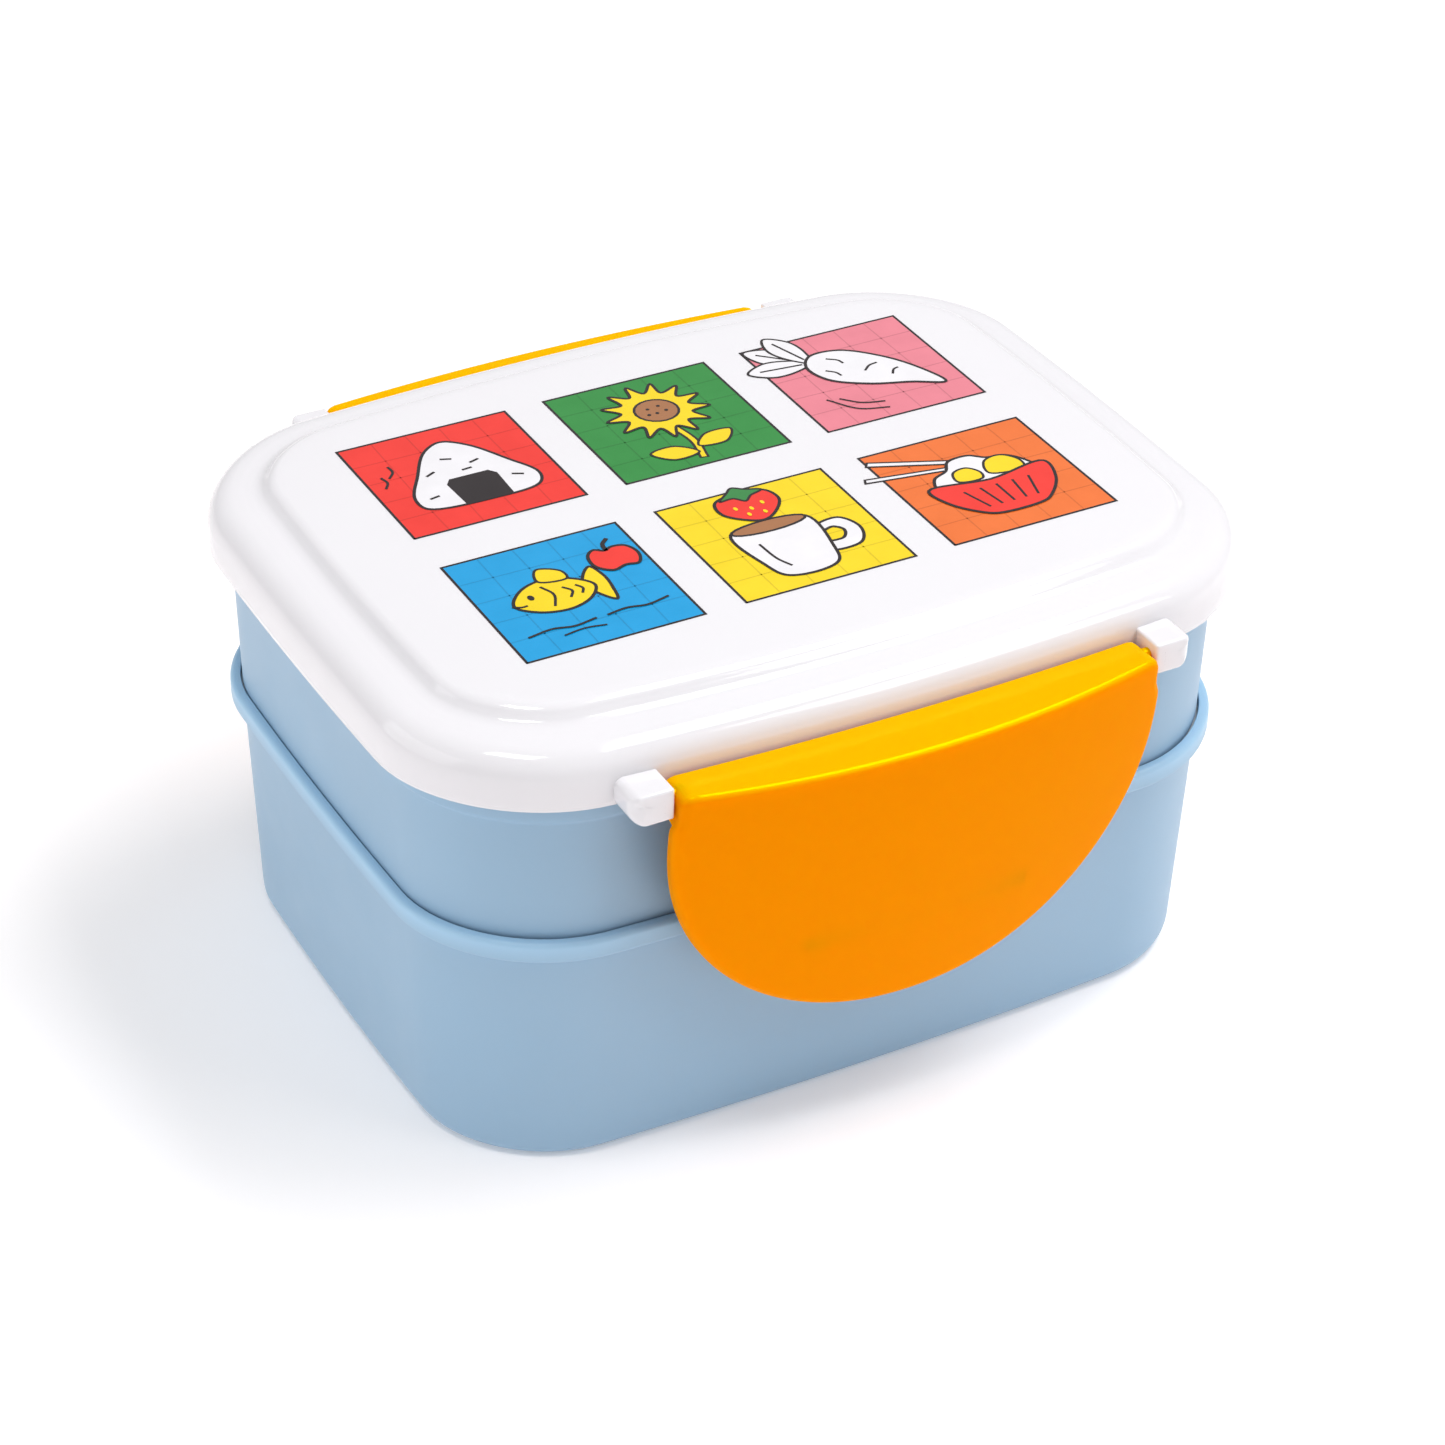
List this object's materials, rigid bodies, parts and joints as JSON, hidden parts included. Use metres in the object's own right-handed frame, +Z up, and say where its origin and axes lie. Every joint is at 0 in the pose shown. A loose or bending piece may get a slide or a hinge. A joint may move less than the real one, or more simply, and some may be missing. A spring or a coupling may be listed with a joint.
{
  "type": "bento lunch box",
  "caption": "Oblong stacking bento lunch box with a domed-edge lid, stacked food tiers, sliding dividers and half-round side clasps.",
  "frame": {"origin": "centre of the base, on the surface the box stands on", "axes": "+X along the long side, -Y towards the front clasp, +Z up through the lid"},
  "size_m": [0.17, 0.1552, 0.092],
  "materials": {
    "tier_plastic": "pale blue polypropylene, satin",
    "milky_plastic": "milky translucent polyethylene",
    "lid_plastic": "white, high gloss, printed squares on top",
    "seal_silicone": "clear silicone",
    "clasp_plastic": "warm orange, gloss"
  },
  "bodies": {
    "lower_tier_body": {"lower_tier": "tier_plastic"},
    "lower_divider_body": {"lower_tier_divider": "milky_plastic"},
    "inner_lid_body": {"inner_lid": "milky_plastic"},
    "upper_tier_body": {"upper_tier": "tier_plastic"},
    "upper_divider_body": {"upper_tier_divider": "milky_plastic"},
    "lid_body": {"lid_shell": "lid_plastic", "lid_seal": "seal_silicone"},
    "front_clasp_body": {"front_clasp": "clasp_plastic"},
    "rear_clasp_body": {"rear_clasp": "clasp_plastic"}
  },
  "joints": [
    {"name": "inner_lid_lift", "type": "slide", "parent": "lower_tier_body", "child": "inner_lid_body", "axis": [0, 0, 1], "range_m": [0, 0.04]},
    {"name": "upper_tier_lift", "type": "slide", "parent": "inner_lid_body", "child": "upper_tier_body", "axis": [0, 0, 1], "range_m": [0, 0.06]},
    {"name": "lid_lift", "type": "slide", "parent": "upper_tier_body", "child": "lid_body", "axis": [0, 0, 1], "range_m": [0, 0.05]},
    {"name": "front_clasp_hinge", "type": "hinge", "parent": "lid_body", "child": "front_clasp_body", "pos_m": [0, -0.0684, 0.081], "axis": [-1, 0, 0], "range_deg": [0, 100]},
    {"name": "rear_clasp_hinge", "type": "hinge", "parent": "lid_body", "child": "rear_clasp_body", "pos_m": [0, 0.0684, 0.081], "axis": [1, 0, 0], "range_deg": [0, 100]},
    {"name": "lower_divider_slide", "type": "slide", "parent": "lower_tier_body", "child": "lower_divider_body", "axis": [1, 0, 0], "range_m": [-0.016, 0.046]},
    {"name": "upper_divider_slide", "type": "slide", "parent": "upper_tier_body", "child": "upper_divider_body", "axis": [1, 0, 0], "range_m": [-0.052, 0.01]}
  ]
}
